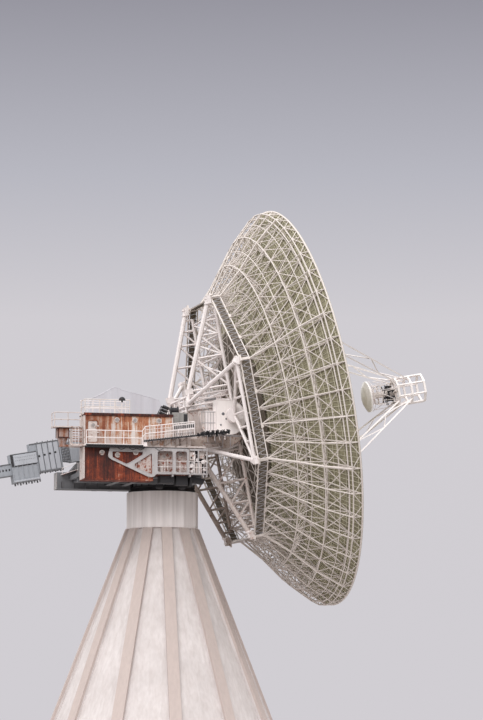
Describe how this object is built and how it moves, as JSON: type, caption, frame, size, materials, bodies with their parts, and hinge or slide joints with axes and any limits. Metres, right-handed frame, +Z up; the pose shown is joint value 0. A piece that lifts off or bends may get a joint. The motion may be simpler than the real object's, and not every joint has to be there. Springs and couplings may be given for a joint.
{
  "type": "radio telescope dish, 1:10 scale model",
  "caption": "Large steerable dish antenna on a flared ribbed concrete tower, with rusty cabins either side, a sloping tail, a lattice back and laced legs to a secondary mirror.",
  "frame": {"origin": "centre of the tower's foot on its flat base, on the vertical axis that the platform turns about", "axes": "+X the way the dish points, level; +Z up; +Y to the left of that, so -Y is the side that the picture shows"},
  "size_m": [3.636, 3.2, 4.7764],
  "materials": {
    "concrete": "board-marked concrete, pale and matte",
    "dark_steel": "dark grey paint, worn and dirty",
    "dark_rust": "pale paint almost wholly rusted through, dark red-brown",
    "rusty_paint": "pale paint with streaks of orange rust",
    "grey_paint": "grey paint, matte and weathered",
    "white_paint": "white paint, satin, a little dirty",
    "olive_aluminium": "dull olive-grey sheet"
  },
  "bodies": {
    "tower": {"tower_flare": "concrete", "tower_drum": "concrete"},
    "platform": {"turntable": "dark_steel", "platform_frame": "dark_steel", "tail_pedestal": "dark_steel", "cabin_lower_near": "dark_rust", "cabin_lower_far": "dark_rust", "cabin_upper_near": "rusty_paint", "cabin_upper_far": "rusty_paint", "rear_cabin": "rusty_paint", "cabin_floor_near": "grey_paint", "cabin_floor_far": "grey_paint", "cabin_roof_near": "grey_paint", "cabin_roof_far": "grey_paint", "web_frame_near": "grey_paint", "web_frame_far": "grey_paint", "bearing_arm_near": "grey_paint", "bearing_arm_far": "grey_paint", "roof_hood": "grey_paint", "louvre_box": "grey_paint", "tail_root": "grey_paint", "tail_box_inner": "grey_paint", "tail_beam": "grey_paint", "gangway_near": "white_paint", "gangway_far": "white_paint", "bearing_housing_near": "white_paint", "bearing_housing_far": "white_paint", "drive_cabinet_near": "white_paint", "drive_cabinet_far": "white_paint", "rear_balcony": "white_paint", "tail_box_outer": "white_paint"},
    "dish": {"cradle": "white_paint", "support_ring": "white_paint", "top_frame_near": "white_paint", "top_frame_far": "white_paint", "top_bracing": "white_paint", "bottom_frame_near": "white_paint", "bottom_frame_far": "white_paint", "bottom_bracing": "white_paint", "side_frame_near": "white_paint", "side_frame_far": "white_paint", "reflector": "olive_aluminium", "inner_trusses_upper": "white_paint", "inner_trusses_lower": "white_paint", "outer_trusses": "white_paint", "rim_ring": "white_paint", "quadrupod": "white_paint", "secondary_mirror": "white_paint", "focus_mechanism": "dark_steel", "feed_cone": "white_paint"}
  },
  "joints": [
    {"name": "azimuth", "type": "hinge", "parent": "tower", "child": "platform", "pos_m": [0, 0, 2.5], "axis": [0, 0, 1], "range_deg": [-330, 330]},
    {"name": "elevation", "type": "hinge", "parent": "platform", "child": "dish", "pos_m": [0.435, 0, 3.075], "axis": [0, -1, 0], "range_deg": [-10, 54.4]}
  ]
}
